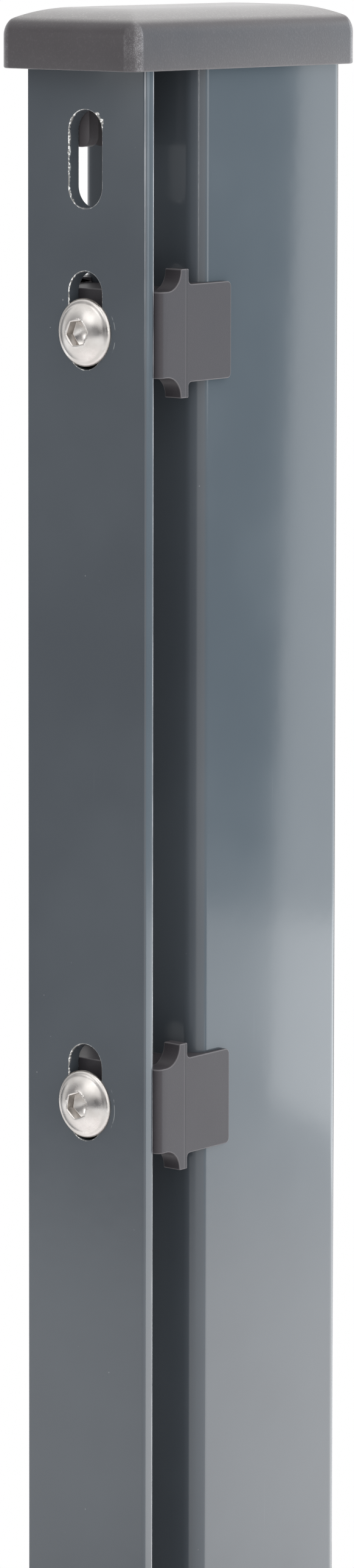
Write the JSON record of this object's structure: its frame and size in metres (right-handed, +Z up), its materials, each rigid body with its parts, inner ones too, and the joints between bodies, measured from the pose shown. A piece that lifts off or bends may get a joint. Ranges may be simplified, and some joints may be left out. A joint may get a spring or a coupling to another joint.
{
  "type": "metal fence post",
  "caption": "Rectangular steel fence post for twin-wire mesh panels, with a slotted flat cover strip, plastic mesh holders, bolts and a domed plastic cap.",
  "frame": {"origin": "middle of the rectangular tube's section, at its foot end", "axes": "+Z up the post, -Y the side that the cover strip and bolt heads face, +X to the right of someone who looks at the cover strip"},
  "size_m": [0.046, 0.0905, 1.1079],
  "materials": {
    "coated_steel": "satin grey powder coat, a little chipped at the slots",
    "cap_plastic": "finely grained, matte, dark grey",
    "holder_plastic": "smooth, semi-matte, mid grey",
    "bolt_steel": "plain stainless steel, satin",
    "nut_steel": "zinc plated"
  },
  "bodies": {
    "root": {"post_tube": "coated_steel", "cover_strip": "coated_steel", "post_cap": "cap_plastic", "mesh_holder_1": "holder_plastic", "mesh_holder_2": "holder_plastic", "mesh_holder_3": "holder_plastic", "mesh_holder_4": "holder_plastic", "bolt_1": "bolt_steel", "bolt_2": "bolt_steel", "bolt_3": "bolt_steel", "bolt_4": "bolt_steel", "rivet_nut_1": "nut_steel", "rivet_nut_2": "nut_steel", "rivet_nut_3": "nut_steel", "rivet_nut_4": "nut_steel"}
  },
  "joints": []
}
